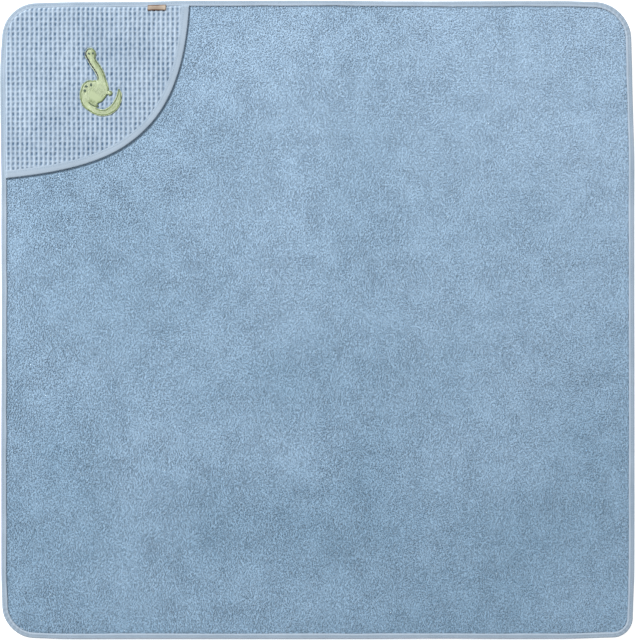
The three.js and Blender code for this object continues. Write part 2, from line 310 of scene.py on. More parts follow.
def cottonBiasTape():
    # plain-woven cotton cut at 45 degrees: smooth, matt, with a fine diagonal weave. Its threads lie
    # 0.3 mm apart and are drawn 0.9 mm apart, so that they show.
    material, tree = clothMaterial("cottonBiasTape", 0.85)
    along = addNode(tree, "ShaderNodeUVMap", uv_map="clothUv").outputs["UV"]
    turned = addNode(tree, "ShaderNodeMapping", {"Vector": along, "Rotation": (0, 0, np.pi / 4)})
    weave = crossedYarns(tree, turned.outputs["Vector"], 0.9 * mm, "MULTIPLY")
    patches = lumps(tree, 16 * mm, 3.0)
    paint(tree, ownTone(tree, "#768A9C", "#9DACBB"), patches, 0.92, 1.08, weave, 0.12 * mm)
    return material


def cottonWaffleWeave():
    # long floats of soft yarn raised in ribs round sunken cells. The ribs are in the mesh; the
    # yarns, 0.74 mm apart, are drawn on them.
    material, tree = clothMaterial("cottonWaffleWeave", 0.9, 0.2)
    place = addNode(tree, "ShaderNodeTexCoord").outputs["Object"]
    yarns = crossedYarns(tree, place, 0.74 * mm, "MAXIMUM")
    paint(tree, ownTone(tree, "#4A6682", "#ACBDCE"), yarns, 0.88, 1.04, yarns, 0.15 * mm)
    return material


def spunThread(name, dark, light, roughness, sheen=0.1, specular=0.4):
    # plied thread, each length with its own shade, its plies 0.35 mm apart; rayon shines softly
    material, tree = clothMaterial(name, roughness, sheen, specular)
    plies = lumps(tree, 0.35 * mm)
    paint(tree, ownTone(tree, dark, light), plies, 0.92, 1.06, plies, 0.06 * mm)
    return material


def satinLabelRibbon():
    # satin-woven polyester ribbon: smooth and slightly shiny, with cross ribs 0.6 mm apart
    material, tree = clothMaterial("satinLabelRibbon", 0.6, 0.1, 0.4)
    along = addNode(tree, "ShaderNodeUVMap", uv_map="clothUv").outputs["UV"]
    settings = {"Vector": along, "Scale": np.pi / 10 / (0.6 * mm)}
    ribs = addNode(tree, "ShaderNodeTexWave", settings).outputs["Fac"]
    paint(tree, ownTone(tree, "#5E4330", "#ADA090"), ribs, 0.96, 1.03, ribs, 0.05 * mm)
    return material


def pressedViscoseBacking():
    # tear-away backing: pressed white viscose fibre, papery and matt, clumped every 1.5 mm
    material, tree = clothMaterial("pressedViscoseBacking", 0.95, 0.0)
    fibre = lumps(tree, 1.5 * mm, 4.0)
    paint(tree, between(tree, fibre, linear("#D9D9D4"), linear("#FAFAF7")), relief=fibre, depth=0.2 * mm)
    return material


towel = {
    # by side, -1 left and 1 right, and by height, -1 below and 1 above
    "cornerRadius": {(-1, 1): 41.0, (1, 1): 45.0, (-1, -1): 39.0, (1, -1): 24.5},
    "cornerEase": 2.2, "easeReach": 92.0,  # the edges draw in by this much, from this far before a corner
    "rightLean": 2.6,  # the right side leans in by this much towards its top
    "leftBulge": 1.2,  # the left side bows out by this much beside the hood
    "topDroop": 1.9, "rightDroop": 0.8,  # the top edge lies lower over the hood's corner and at its right
    "waver": 0.35,  # how far the sewn edge strays from its line
}
tapeLow, tapeHigh = boxMm("edge_binding")
left, bottom, right, top = tapeLow[0], tapeLow[1], tapeHigh[0], tapeHigh[1]
width, length = right - left, top - bottom


def pulled(x, y):
    # how far the laid towel's edges stray from a true rectangle, as (x, y)
    lean = towel["rightLean"] * smooth((y - 180) / 160) * np.clip(x / right, 0, 1)
    bulge = towel["leftBulge"] * smooth((y - 170) / 50) * (1 - smooth((y - 320) / 60))
    bulge = bulge * np.clip(x / left, 0, 1)
    droop = towel["topDroop"] * smooth((-150 - x) / 90) + towel["rightDroop"] * smooth((x - 20) / 80)
    droop = droop * np.clip(y / top, 0, 1)
    nearEnd = smooth(1 - (length / 2 - np.abs(y)) / towel["easeReach"]) * np.clip(x / right, -1, 1)
    nearSide = smooth(1 - (width / 2 - np.abs(x)) / towel["easeReach"]) * np.clip(y / top, -1, 1)
    return -lean - bulge - towel["cornerEase"] * nearEnd, -droop - towel["cornerEase"] * nearSide


def edgeInset(x, y):
    # how far inside the outline a place is: with q = |place| - half size + corner radius,
    # radius - |max(q, 0)| - min(max(qx, qy), 0)
    offX, offY = pulled(x, y)
    x, y = x - offX, y - offY
    radius = sum(np.where((sx * x > 0) & (sy * y > 0), own, 0)
                 for (sx, sy), own in towel["cornerRadius"].items())
    qx, qy = np.abs(x) - width / 2 + radius, np.abs(y) - length / 2 + radius
    return radius - np.hypot(np.maximum(qx, 0), np.maximum(qy, 0)) - np.minimum(np.maximum(qx, qy), 0)


def evenly(line, spacing):
    # points at even steps along a line of many short ones
    walked = walkedAlong(line)
    count = int(round(walked[-1] / spacing))
    at = np.linspace(0, walked[-1], count, endpoint=False)
    return np.stack([np.interp(at, walked, line[:, k]) for k in (0, 1)], 1)


def towelOutline(spacing):
    # quarter arcs about the corners' centres, centre + radius * (cos(a), sin(a)), joined by straight runs
    turn = np.linspace(0, np.pi / 2, 40)
    arcs = []
    for quarter, (sx, sy) in enumerate(((1, 1), (-1, 1), (-1, -1), (1, -1))):
        radius = towel["cornerRadius"][sx, sy]
        a = turn + quarter * np.pi / 2
        centre = np.array([sx * (width / 2 - radius), sy * (length / 2 - radius)])
        arcs.append(centre + radius * np.stack([np.cos(a), np.sin(a)], 1))
    line = evenly(np.concatenate(arcs + [arcs[0][:1]]), spacing)
    inward = unit(leftOf(np.roll(line, -1, 0) - np.roll(line, 1, 0)))
    line = line - inward * cloudOn(line, 95, 3)[:, None] * towel["waver"]
    return line + np.stack(pulled(*line.T), 1), inward


hood = {
    "alongTop": 238.2,  # from the towel's corner to the curve's end, along the top
    "alongSide": 225.9,  # and down the side
    "topHandle": (8.2, 182.6),  # how the curve leaves its top end: inwards and down
    "sideHandle": (140.1, 13.9),  # and its side end: inwards and up
    "cellWidth": 5.92,  # one waffle cell, with its rib
    "cellHeight": 6.3,
    "foldWidth": 6.0,  # the cloth turns over this far when the hood folds back
}
topEnd, sideEnd = np.array([left + hood["alongTop"], top]), np.array([left, top - hood["alongSide"]])
curveStops = topEnd, topEnd - hood["topHandle"], sideEnd + hood["sideHandle"], sideEnd


def hoodCurve(spacing):
    # a cubic curve: (1-t)^3 a + 3 (1-t)^2 t b + 3 (1-t) t^2 c + t^3 d, with its inward direction
    t = np.linspace(0, 1, 900)[:, None]
    a, b, c, d = curveStops
    line = (1 - t) ** 3 * a + 3 * (1 - t) ** 2 * t * b + 3 * (1 - t) * t ** 2 * c + t ** 3 * d
    line = evenly(line, spacing)
    return line, -unit(leftOf(np.gradient(line, axis=0)))


curveLine, curveInward = hoodCurve(0.8)


def curveInset(x, y):
    # how far inside the hood's curve a place is, below 0 outside it, from the nearest point of the curve
    shape = x.shape
    place = np.stack([x.ravel(), y.ravel()], 1)
    result = np.empty(len(place))
    for first in range(0, len(place), 4000):
        some = place[first:first + 4000]
        away = some[:, None, :] - curveLine[None, ::4, :]
        nearest = (away ** 2).sum(2).argmin(1)
        step = away[np.arange(len(some)), nearest]
        result[first:first + 4000] = (step * curveInward[::4][nearest]).sum(1)
    return result.reshape(shape)


jointPoint = {joint["name"]: np.array(joint["pos_m"]) for joint in frame["joints"]}
foldPoint = jointPoint["hood_fold"] / mm
foldOut = np.array([1, -1, 0]) / np.sqrt(2)  # square to the fold, towards the hood's free edge


def pastFold(x, y):  # how far past the hood's fold a place is
    return (x - foldPoint[0]) * foldOut[0] + (y - foldPoint[1]) * foldOut[1]


def shade(x, y):
    # the terry's broad tone: painted light and shade, paler to the top and, in the upper half, paler to the
    # right, with soft painted patches of light and shade where the pile lies another way
    slope = 0.22 * y / (length / 2) + 0.1 * x / (width / 2) * smooth(y / 200)
    lower = smooth((120 - y) / 240)
    return (0.46 + slope + (0.09 + 0.035 * lower) * cloud(x, y, 95, 21)
            + (0.028 + 0.012 * lower) * (cloud(x, y, 38, 22) + 0.8 * cloud(x, y, 17, 23)))


ground = {
    "step": 4.8,  # size of one face
    "top": 2.75, "under": 0.1,
    "rimTop": 2.5, "rimUnder": 1.75,  # squeezed between the edge tape's legs
    "reachInTape": 2.8,  # how near the cloth comes to the towel's very edge
    "freeFrom": 6.6, "freeOver": 3.0,  # it swells to its own height from here on, over this far
}


def makeGround():
    # top and under faces with low soft lumps, brought together inside the tape
    across = np.arange(left - 2, right + 2, ground["step"])
    upward = np.arange(bottom - 2, top + 2, ground["step"])
    x, y = np.meshgrid(across, upward, indexing="ij")
    inset = edgeInset(x, y)
    held = inset > ground["reachInTape"]
    keep = held[:-1, :-1] | held[1:, :-1] | held[1:, 1:] | held[:-1, 1:]
    # corners of faces that fall outside the rim are drawn in onto it, square to the outline
    slopeX = edgeInset(x + 0.5, y) - edgeInset(x - 0.5, y)
    slopeY = edgeInset(x, y + 0.5) - edgeInset(x, y - 0.5)
    short = np.maximum(ground["reachInTape"] - inset, 0)
    x, y = x + slopeX * short, y + slopeY * short
    inset = edgeInset(x, y)
    free = smooth((inset - ground["freeFrom"]) / ground["freeOver"])
    high = ground["top"] + 0.15 * cloud(x, y, 22, 5) + 0.1 * cloud(x, y, 9, 6)
    low = ground["under"] + 0.15 + 0.15 * cloud(x, y, 12, 7)
    high = ground["rimTop"] + (high - ground["rimTop"]) * free
    low = ground["rimUnder"] + (low - ground["rimUnder"]) * free
    piece = newPiece("terryGround", "terry", ["terry_panel"], cottonTerryGround(),
                     *closedSheet(x, y, high, low, keep, shade(x, y)))
    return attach(piece, "towel")


terryGround = makeGround()


pile = {
    "spacing": 2.0,  # real loops stand 1.5 mm apart; drawn a little coarser, so that they show
    "stray": 0.4,  # how far a loop strays from its place, as a share of the spacing
    "span": 2.2,  # between a loop's two feet
    "radius": 0.62,
    "height": 1.2,
    "heading": 1.15, "turn": 0.45,  # the yarns' run, and how far a loop turns from it, in radians
    "lean": 0.45, "nap": 0.55,  # how far a loop's top leans: each its own way, and all together
    "fromEdge": 6.2,  # no loop stands nearer the towel's edge than this
    "tiles": (2, 4),
    "underHood": 32.0,  # the loops go on this far under the hood, past its fold
}


def placesOfLoops():
    rng = np.random.default_rng(11)
    step = pile["spacing"]
    x, y = np.meshgrid(np.arange(left, right, step), np.arange(bottom, top, step * 0.96), indexing="ij")
    x = x + (np.arange(x.shape[1]) % 2) * step / 2
    x = x + rng.uniform(-1, 1, x.shape) * step * pile["stray"]
    y = y + rng.uniform(-1, 1, y.shape) * step * pile["stray"]
    x, y = x.ravel(), y.ravel()
    inset = edgeInset(x, y)
    x, y = (v[inset > pile["fromEdge"]] for v in (x, y))
    inCurve = curveInset(x, y)
    seen = (inCurve < 0) | (pastFold(x, y) > -pile["underHood"])
    return x[seen], y[seen], inCurve[seen]


def tufts(foot, otherFoot, crest, side, radius):
    # short yarns from foot to foot over a crest, where a ring of four corners runs round them:
    # crest + radius * (cos(a) * up + sin(a) * side)
    n = len(foot)
    turn = np.arange(4) * np.pi / 2
    up = np.array([0.0, 0.0, 1.0])
    ring = np.cos(turn)[:, None] * up + np.sin(turn)[:, None] * side[:, None, :]
    ring = crest[:, None, :] + radius[:, None, None] * ring
    points = np.concatenate([foot[:, None], otherFoot[:, None], ring], 1).reshape(-1, 3)
    index = np.arange(n * 6).reshape(n, 6)
    first, second = index[:, 2:], np.roll(index[:, 2:], -1, axis=1)
    nearFoot, farFoot = index[:, :1] + 0 * first, index[:, 1:2] + 0 * first
    faces = [np.stack(corners, -1).reshape(-1, 3)
             for corners in ((nearFoot, first, second), (farFoot, second, first))]
    bakeUv = ownSquares(n, [0.5, 0.5, 0.2, 0.4, 0.6, 0.8], [0.1, 0.9, 0.5, 0.5, 0.5, 0.5])
    return points, facingOut(points, [np.concatenate(faces)]), bakeUv


def makePile():
    # every loop its own length, turn, lean and shade
    rng = np.random.default_rng(12)
    x, y, inCurve = placesOfLoops()
    n = len(x)
    heading = pile["heading"] + 0.35 * cloud(x, y, 45, 30) + rng.normal(0, pile["turn"], n)
    along = np.stack([np.cos(heading), np.sin(heading), np.zeros(n)], 1)
    side = np.stack([-np.sin(heading), np.cos(heading), np.zeros(n)], 1)
    napTurn = -1.2 + 1.2 * cloud(x, y, 60, 31) + 0.5 * cloud(x, y, 21, 32)
    lean = np.stack([np.cos(napTurn), np.sin(napTurn)], 1) * pile["nap"]
    lean += rng.normal(0, pile["lean"], (n, 2)) * (1 - 0.25 * smooth((y + 60) / 200))[:, None]
    size = rng.uniform(0.82, 1.18, n) * (1 + 0.1 * cloud(x, y, 14, 33))
    # pressed under the hood, and more under its very edge
    byHood = 1 - 0.5 * smooth((inCurve + 3.4) / 2.2) * (1 - 0.6 * smooth((inCurve - 1) / 4))
    height = pile["height"] * size * byHood
    foot = np.stack([x, y, np.full(n, ground["top"] - 0.3)], 1)
    crest = foot + np.concatenate([lean * (height / pile["height"])[:, None], height[:, None]], 1)
    spread = along * (pile["span"] / 2 * size)[:, None]
    # painted shade: the loops are darker within about 26 mm outside the hood's edge and under the hood
    tone = shade(x, y) - 0.16 * smooth((inCurve + 26) / 22) + rng.normal(0, 0.05, n)
    tone = tone + rng.normal(0, 0.14, n) * smooth((240 - y) / 220)  # the lower half looks more mixed
    columns, rows = pile["tiles"]
    column = np.clip(((x - left) / width * columns).astype(int), 0, columns - 1)
    row = np.clip(((y - bottom) / length * rows).astype(int), 0, rows - 1)
    material = cottonTerryLoops()
    pieces = []
    for tile in range(columns * rows):
        mine = column + columns * row == tile
        shape = tufts(*(v[mine] for v in (foot - spread, foot + spread, crest, side, pile["radius"] * size)))
        piece = newPiece(f"terryLoops{tile + 1}", "terry", [], material, np.repeat(tone[mine], 6), *shape)
        pieces.append(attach(piece, "towel"))
    return pieces


terryLoops = makePile()


def foldedSection(tape, crown):
    # a tape folded over an edge, as (inset, height) pairs: in along the lower leg, round half an
    # ellipse, out along the upper leg, then the same line back, one tape's thickness inside
    reach, roll, low, high, thickness = (tape[key] for key in ("reach", "roll", "low", "high", "thickness"))
    middle, half = (low + high) / 2, (high - low) / 2
    legs = np.linspace(reach, roll, 4)[:-1]
    a = np.linspace(-np.pi / 2, np.pi / 2, 8)
    crest = np.linspace(roll, reach, 8)[1:]
    insets, heights = [], []
    for inside, order in ((0, 1), (thickness, -1)):
        inset = np.concatenate([legs, roll - (roll - inside) * np.cos(a), crest])
        height = np.concatenate([np.full(3, low + inside), middle + (half - inside) * np.sin(a),
                                 high + crown(crest) - inside])
        insets.append(inset[::order])
        heights.append(height[::order])
    return np.concatenate(insets), np.concatenate(heights)


tapeCloth = cottonBiasTape()
edgeTape = {
    "spacing": 1.5,  # half a stitch's pitch
    "low": 0.75, "high": 4.15, "thickness": 0.5,
    "roll": 1.7,  # how deep the fold at the towel's edge is
    "reach": 7.2, "seam": 3.6,  # both from the towel's edge
    "stitchPitch": 3.0, "stitchLength": 2.3, "threadRadius": 0.2,
}


def edgeCrown(inset):
    # the upper leg swells, dips at the seam, swells again and turns down at its edge
    return np.interp(inset, [0, 1.7, 2.4, 3.0, 3.6, 4.3, 5.4, 6.5, 7.2],
                     [0, 0, 0.25, 0.12, -0.2, 0.3, 0.5, 0.3, -0.2])


def makeEdgeTape():
    line, inward = towelOutline(edgeTape["spacing"])
    inset, height = foldedSection(edgeTape, edgeCrown)
    along, inset = np.meshgrid(np.arange(len(line)), inset, indexing="ij")
    # puckers: the tape rises between stitches, in soft lumps, and where it is eased round the corners
    onTop = smooth((height - 3.2) / 0.6)
    bySeam = np.exp(-((inset - edgeTape["seam"]) / 1.1) ** 2)
    pucker = 0.11 * np.cos(np.pi * along) * bySeam
    pucker = pucker + (0.22 * cloudOn(line, 13, 41) + 0.1 * cloudOn(line, 5, 42))[:, None]
    arc = np.abs(np.cross(inward, np.roll(inward, -1, 0)))
    bend = smooth(arc / arc.max() * 1.6)[:, None]
    pucker = pucker + bend * 0.28 * np.sin(along * 1.35 + 2.2 * inset / edgeTape["reach"])
    height = height + onTop * pucker
    stray = 0.35 * cloudOn(line, 30, 43)[:, None]  # the legs' inner edges stray a little
    inset = inset + stray * smooth((inset - 3.0) / 3.0)
    # painted light and shade: the tape is lighter where it stands higher and darker in the dip at its seam;
    # it is also lighter over its inner part
    tone = 0.6 + 0.2 * (height - 3.6) - 0.22 * bySeam * onTop + 0.3 * smooth((inset - 4.6) / 1.2)
    tone = tone + 0.12 * cloudOn(line, 26, 44)[:, None]
    piece = newPiece("edgeTape", "tape", ["edge_binding"], tapeCloth, tone.ravel(),
                     *sweptTape(line, inward, inset, height, closed=True))
    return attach(piece, "towel")


seamThread = spunThread("spunPolyesterSeamThread", "#8FA9C2", "#C3D4E6", 0.7)


def sewnSeam(name, nodes, tape, line, inward, under, seed, darkest, palest):
    # straight stitches on top of a tape and under it: each sinks in at both ends
    walked = walkedAlong(line)
    pitch = tape["stitchPitch"]
    at = np.arange(pitch / 2, walked[-1] - pitch / 2, pitch)[:, None] + fivePoints * tape["stitchLength"]
    x, y = (np.interp(at, walked, v) for v in (line + inward * tape["seam"]).T)
    sink = np.abs(fivePoints * 2) ** 3 * 0.32
    heights = tape["high"] - 0.02 - sink, under + sink * 0.6
    paths = np.concatenate([np.stack([x, y, np.broadcast_to(z, x.shape)], -1) for z in heights])
    tone = np.random.default_rng(seed).uniform(darkest, palest, len(paths))
    return newPiece(name, "seam_thread", nodes, seamThread, np.repeat(tone, 25),
                    *threads(paths, tape["threadRadius"], 0.6))


def makeEdgeStitches():
    line, inward = (np.concatenate([v, v[:1]]) for v in towelOutline(edgeTape["spacing"]))
    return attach(sewnSeam("edgeStitches", ["edge_top_thread", "edge_under_thread"], edgeTape,
                            line, inward, 0.35, 51, 0.3, 0.8), "towel")


edgeBinding = makeEdgeTape()
edgeStitches = makeEdgeStitches()

# the dinosaur, measured from its middle, +x right and +y up
dinosaur = {
    "ovals": {  # x, y, half width, half height, turn
        "head": (-12.5, 34.4, 7.5, 8.2, 0.0),
        "paw": (12.0, -15.0, 3.4, 3.6, 0.0),
        "shoulder": (-7.5, -9.0, 9.2, 10.8, 0.0),
        "belly": (-13.5, -17.5, 12.8, 19.5, 0.0),
        "leftEye": (-14.5, 34.8, 1.1, 1.8, 0.6),
        "rightEye": (-9.3, 35.3, 1.1, 1.8, -0.6),
        "upperSpot": (-11.8, -4.5, 1.3, 2.2, 0.0),
        "middleSpot": (-17.8, -6.5, 1.9, 1.7, 0.0),
        "lowerSpot": (-19.6, -11.9, 1.5, 2.1, 0.0),
    },
    "strokes": {  # x, y and half the width at each stop
        "neck": [(-11.5, 29, 5.6), (-9, 23.5, 5.4), (-3.4, 15.5, 5.4), (0.6, 7.3, 5.4), (1.5, 0, 6.8),
                 (1.4, -5, 8.4), (0.6, -10.5, 10.4), (-4.2, -17.5, 10.6)],
        "tail": [(-15, -30, 6.5), (-9, -35.7, 5), (-3, -38.8, 4.4), (3.6, -39.6, 4.3), (9.8, -38, 4.7),
                 (16, -34, 5), (20.7, -27.8, 4.9), (23.2, -21, 4.1), (23.8, -15.6, 3.1),
                 (23.2, -10.4, 1.7)],
        "legLine": [(-14.6, -26.6, 0.6), (-10.8, -29.8, 0.8), (-6.4, -31.6, 0.8), (-2.2, -31, 0.6)],
    },
    "filled": ("head", "neck", "paw", "tail", "shoulder", "belly"),  # each lies over the ones after it
    "cloth": 5.9,  # the waffle is pressed flat under the stitches
    "low": 6.85, "swell": 0.85,  # the fill's height at its edge, and how much it swells inside
    "rowSpacing": 0.5, "stitchLength": 4.2, "threadRadius": 0.3,
    "borderIn": 1.6, "borderPitch": 0.42, "borderLength": 1.7, "borderRadius": 0.27,
    "dotPitch": 0.36, "dotRadius": 0.26,
}
motifMiddle = (boxMm("embroidery_backing")[0] + boxMm("embroidery_backing")[1])[:2] / 2


def lineThrough(stops):
    # a smooth line through stops ... a, b, c, d ...: between b and c its point at t is
    # b + t/2 * (c - a + t * (2a - 5b + 4c - d + t * (3b - 3c + d - a)))
    stops = np.array(stops, float)
    held = np.concatenate([stops[:1], stops, stops[-1:]])
    t = np.linspace(0, 1, 30, endpoint=False)[:, None]
    parts = [b + t / 2 * (c - a + t * (2 * a - 5 * b + 4 * c - d + t * (3 * b - 3 * c + d - a)))
             for a, b, c, d in zip(held, held[1:], held[2:], held[3:])]
    return np.concatenate(parts + [stops[-1:]])


strokeLines = {name: lineThrough(stops) for name, stops in dinosaur["strokes"].items()}


def depthIn(part, x, y):
    # how far inside a part of the dinosaur a place is: for an oval (1 - |(u/a, v/b)|) * min(a, b),
    # for a stroke the greatest of (half width - distance) over its line
    if part in dinosaur["ovals"]:
        middleX, middleY, halfWidth, halfHeight, turn = dinosaur["ovals"][part]
        u = (x - middleX) * np.cos(turn) + (y - middleY) * np.sin(turn)
        v = (y - middleY) * np.cos(turn) - (x - middleX) * np.sin(turn)
        return (1 - np.hypot(u / halfWidth, v / halfHeight)) * min(halfWidth, halfHeight)
    line = strokeLines[part][::3]
    away = np.hypot(x.reshape(-1, 1) - line[:, 0], y.reshape(-1, 1) - line[:, 1])
    return (line[:, 2] - away).max(1).reshape(x.shape)


def motifDepth(x, y):
    return np.max([depthIn(part, x, y) for part in dinosaur["filled"]], axis=0)


def motifHeight(depth):
    return dinosaur["low"] + dinosaur["swell"] * (1 - np.exp(-np.maximum(depth, 0) / 2.2))


def stitchHeight(x, y, lift, sink):
    # a stitch lies this far above the figure, and less by `sink` at its two ends
    return motifHeight(motifDepth(x, y)) + lift - np.abs(fivePoints * 2) ** 3 * sink


waffle = {
    "ribHeight": 7.0, "pitHeight": 4.95,
    "under": 4.55,
    "inTape": (3.35, 2.9),  # its two faces inside the edge tape
    "underTape": (6.15, 5.3),  # and under the hood's own tape
    "crossRibDrop": 0.42,  # the ribs that run across lie a little lower
    # each pit has its own depth, shift and slant, as shares of the usual pit and cell, and its own depth of
    # painted shade
    "pits": ((0.72, 1.12), (-0.06, 0.06), (-0.12, 0.22), (-0.84, -0.54)),
    "stops": (0.0, 0.17, 0.36, 0.5, 0.64, 0.83),  # where the faces' corners fall in one cell
    "flatArea": 0.042,  # the quarter-round cut, in square metres
}


def waffleLines(low, high, pitch, first):
    # the grid's lines across one direction, and where each falls, in cells
    cells = np.arange(np.floor((low - first) / pitch), np.ceil((high - first) / pitch))
    share = (cells[:, None] + np.array(waffle["stops"])[None, :]).ravel()
    return first + share * pitch, share


def squeezed(x, y, high, low, reach):
    # cloth that thins into the edge tape, from its full height `reach` inside it
    free = smooth((edgeInset(x, y) - 5.9) / reach)
    pressedHigh, pressedLow = waffle["inTape"]
    return pressedHigh + (high - pressedHigh) * free, pressedLow + (low - pressedLow) * free


def makeWaffle():
    # in each cell a pit with sloping sides: smooth((0.32 - |u - 0.5|) / 0.18) deep, and the like in v
    across, u = waffleLines(left, left + hood["alongTop"], hood["cellWidth"], left + 1.2)
    upward, v = waffleLines(top - hood["alongSide"], top, hood["cellHeight"], top - 2.4)
    x, y = np.meshgrid(across, upward, indexing="ij")
    u, v = np.meshgrid(u, v, indexing="ij")
    cellU, cellV = np.floor(u).astype(int), np.floor(v).astype(int)
    rng = np.random.default_rng(61)
    perCell, shift, slant, pitShade = (
        rng.uniform(*span, (80, 80))[cellU % 80, cellV % 80] for span in waffle["pits"])
    alongV = v - cellV - 0.5
    fromMiddleU, fromMiddleV = np.abs(u - cellU - 0.5 + shift - slant * alongV), np.abs(alongV)
    pit = smooth((0.32 - fromMiddleU) / 0.18) * smooth((0.42 - fromMiddleV) / 0.17)
    crossRib = (1 - smooth((0.42 - fromMiddleV) / 0.17)) * smooth((0.42 - fromMiddleU) / 0.2)
    inCurve = curveInset(x, y)
    relief = (waffle["ribHeight"] - waffle["pitHeight"]) * perCell * pit + waffle["crossRibDrop"] * crossRib
    high = waffle["ribHeight"] - relief + 0.12 * cloud(x, y, 4, 64) + 0.2 * cloud(x, y, 34, 62)
    low = waffle["under"] + 0.25 * (1 - pit) + 0.1 * cloud(x, y, 34, 62)
    byCurve = smooth((inCurve - 7.0) / 2.6)
    flatHigh, flatLow = waffle["underTape"]
    high, low = flatHigh + (high - flatHigh) * byCurve, flatLow + (low - flatLow) * byCurve
    high, low = squeezed(x, y, high, low, 3.4)
    x = x + 0.3 * cloud(x, y, 27, 65) + 0.12 * cloud(x, y, 8, 66)
    y = y + 0.3 * cloud(x, y, 31, 67) + 0.12 * cloud(x, y, 9, 68)
    motifX, motifY = x - motifMiddle[0], y - motifMiddle[1]
    depth = motifDepth(motifX, motifY)
    high = high - (high - dinosaur["cloth"]) * smooth(depth / 2 + 1)
    # beside the neck and the head, on their left, painted shade darkens the cloth in a narrow band
    shadeBesideNeck = np.exp(-((depth + 0.8) / 0.8) ** 2) * smooth(motifDepth(motifX + 1, motifY) - depth)
    shadeBesideNeck = shadeBesideNeck * smooth(motifY / 8)
    # painted shade: the pits, the lower cross ribs and the band beside the neck are darkened
    tone = 0.92 + pitShade * pit - 0.13 * crossRib - 0.8 * shadeBesideNeck
    tone = tone + 0.1 * cloud(x, y, 30, 69) + 0.09 * cloud(x, y, 3, 70)
    held = (edgeInset(x, y) > 3.4) & (inCurve > 3.2)
    keep = held[:-1, :-1] & held[1:, :-1] & held[1:, 1:] & held[:-1, 1:]
    piece = newPiece("waffleHood", "waffle", ["hood_panel", "hood_free_edge"], cottonWaffleWeave(),
                     *closedSheet(x, y, high, low, keep, tone))
    return foldWithHood(piece)


def foldWithHood(piece):
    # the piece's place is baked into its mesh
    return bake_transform(piece)


makeWaffle()

hoodTape = {
    "low": 4.5, "high": 6.85, "thickness": 0.45, "roll": 1.4,
    "reach": 8.4, "moreAtEnds": 1.5,  # the tape is a little wider at its two ends
    "seam": 6.9,
    "stitchPitch": 3.0, "stitchLength": 2.3, "threadRadius": 0.2,
}


def hoodCrown(inset):
    # flat, with a shallow dip at the seam and a lifted edge
    return np.interp(inset, [0, 1.4, 3.0, 5.4, 6.2, 6.9, 7.5, 8.0, 8.4],
                     [0, 0, 0.15, 0.1, 0.02, -0.16, 0.1, 0.12, -0.35])


def keptCurve():
    # the hood's curve between the edge tape's two legs, and how far along it each point is, 0 to 1
    inside = edgeInset(curveLine[:, 0], curveLine[:, 1]) > 3.3
    line, inward = curveLine[inside], curveInward[inside]
    walked = walkedAlong(line)
    return line, inward, walked / walked[-1]


def makeHoodTape():
    line, inward, share = keptCurve()
    inset, height = foldedSection(hoodTape, hoodCrown)
    wider = 1 + hoodTape["moreAtEnds"] / hoodTape["reach"] * (2 * share - 1) ** 2
    wider = wider + 0.03 * cloudOn(line, 40, 73)
    onTop = smooth((height - 6.0) / 0.6)
    height = height + onTop * (0.15 * cloudOn(line, 11, 71) + 0.08 * cloudOn(line, 4, 72))[:, None]
    inset = inset * np.where(inset > 2, wider[:, None], 1.0)
    line = line + inward * 0.25 * cloudOn(line, 45, 74)[:, None]
    flat = line[:, None, :] + inward[:, None, :] * inset[..., None]
    free = smooth((edgeInset(flat[..., 0], flat[..., 1]) - 4.6) / 4.0)
    height = 3.15 + (height - 3.15) * (0.18 + 0.82 * free)
    bySeam = np.exp(-((inset - hoodTape["seam"]) / 0.9) ** 2)
    # painted shade: the tape is darker in the dip at its seam
    tone = 0.85 - 0.35 * bySeam * onTop + 0.1 * cloudOn(line, 26, 75)[:, None]
    nodes = ["hood_binding", "hood_binding_top_end", "hood_binding_side_end"]
    return foldWithHood(newPiece("hoodTape", "tape", nodes, tapeCloth, tone.ravel(),
                                 *sweptTape(line, inward, inset, height, closed=False)))


def makeHoodStitches():
    line, inward, _ = keptCurve()
    clear = edgeInset(*(line + inward * 7).T) > 9.5
    nodes = [f"hood_{side}_thread{end}" for side in ("top", "under") for end in ("", "_top_end", "_side_end")]
    return foldWithHood(sewnSeam("hoodStitches", nodes, hoodTape, line[clear], inward[clear],
                                 hoodTape["low"] - 0.1, 52, 0.5, 1.0))


makeHoodTape()
makeHoodStitches()

limeThread = spunThread("rayonEmbroideryLime", "#8D9C73", "#CEDABA", 0.5, 0.15, 0.5)
oliveThread = spunThread("rayonEmbroideryOlive", "#4E6048", "#8FA06B", 0.5, 0.15, 0.5)
darkThread = spunThread("rayonEmbroideryForest", "#33473F", "#4A5F50", 0.5, 0.15, 0.5)


def embroider(name, node, x, y, z, radius, tone, material, slot):
    # five points of each stitch in a row of x, y and z, measured from the figure's middle
    paths = np.stack([x + motifMiddle[0], y + motifMiddle[1], z], -1)
    piece = newPiece(name, slot, [node], material, np.repeat(tone, 25), *threads(paths, radius, 0.65))
    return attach(piece, "towel")


def brickRows(halfWidth, first, last):
    # stitches end to end in rows side by side, each row begun further on than the one before it
    spacing, stitch = dinosaur["rowSpacing"], dinosaur["stitchLength"]
    offsets, starts = np.arange(-halfWidth, halfWidth, spacing), np.arange(first, last, stitch)
    row, start = [v.ravel() for v in np.meshgrid(np.arange(len(offsets)), starts, indexing="ij")]
    return (start + row * 1.37 % stitch)[:, None] + fivePoints * stitch, offsets[row][:, None]


def rowsAlongStroke(line):
    # rows beside a stroke's line
    tangent = unit(np.gradient(line[:, :2], axis=0))
    walked = walkedAlong(line[:, :2])
    at, off = brickRows(9, -dinosaur["stitchLength"], walked[-1] + 4)
    x = np.interp(at, walked, line[:, 0]) - np.interp(at, walked, tangent[:, 1]) * off
    y = np.interp(at, walked, line[:, 1]) + np.interp(at, walked, tangent[:, 0]) * off
    inside = (at > 0.0) & (at < walked[-1])
    return x[inside.all(1)], y[inside.all(1)]


